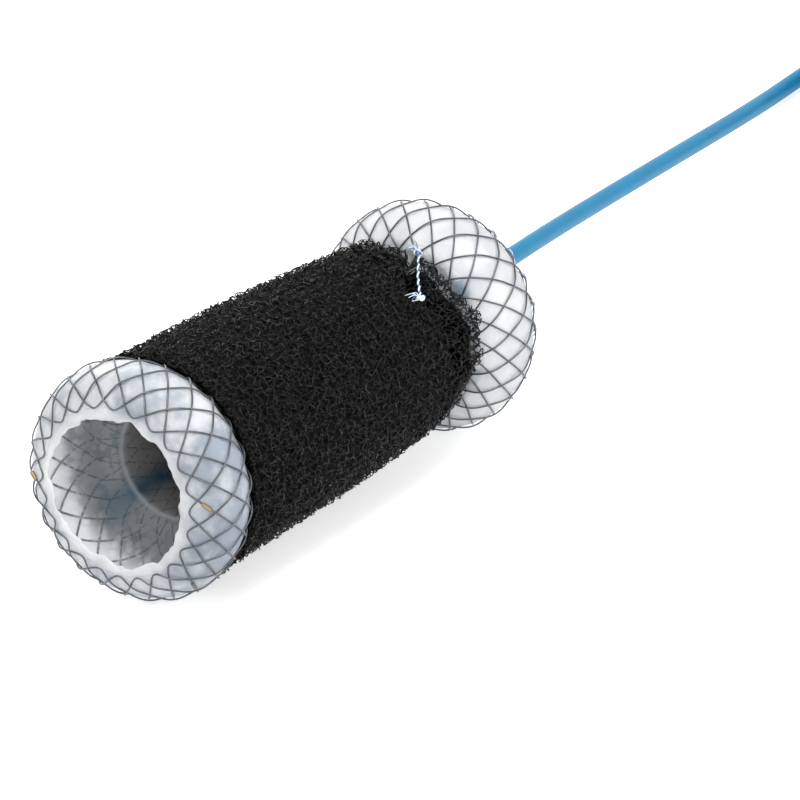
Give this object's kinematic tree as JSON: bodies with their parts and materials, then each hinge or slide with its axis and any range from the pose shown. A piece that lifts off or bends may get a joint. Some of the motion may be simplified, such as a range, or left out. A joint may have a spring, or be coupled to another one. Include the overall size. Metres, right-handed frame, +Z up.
{
  "type": "vacuum stent",
  "caption": "Short braided metal stent with flared film-covered ends, an open-pore foam sleeve round its waist and a suction tube led out to a hub.",
  "frame": {"origin": "middle of the stent's length, on the surface that it lies on", "axes": "+X along the stent's axis, towards the end that the suction tube leaves; +Z up; the stent's axis is 15 mm above the origin"},
  "size_m": [0.2314, 0.0425, 0.03],
  "materials": {
    "stent_wire": "dark oxide, smooth",
    "marker": "polished",
    "film": "milky, translucent, satin",
    "foam": "black, open pores",
    "catheter": "clear blue, smooth",
    "thread": "braided, white",
    "tie": "white, satin",
    "hub": "blue, satin"
  },
  "bodies": {
    "root": {"wire_braid": "stent_wire", "wire_crimp": "stent_wire", "marker_sleeve_near_left": "marker", "marker_sleeve_near_right": "marker", "marker_sleeve_far_left": "marker", "marker_sleeve_far_right": "marker", "cover_film": "film", "foam_sleeve": "foam", "suction_catheter": "catheter", "fixing_thread": "thread", "retrieval_thread": "thread", "catheter_run": "catheter", "catheter_coil": "catheter", "coil_tie": "tie", "luer_connector": "hub"}
  },
  "joints": []
}
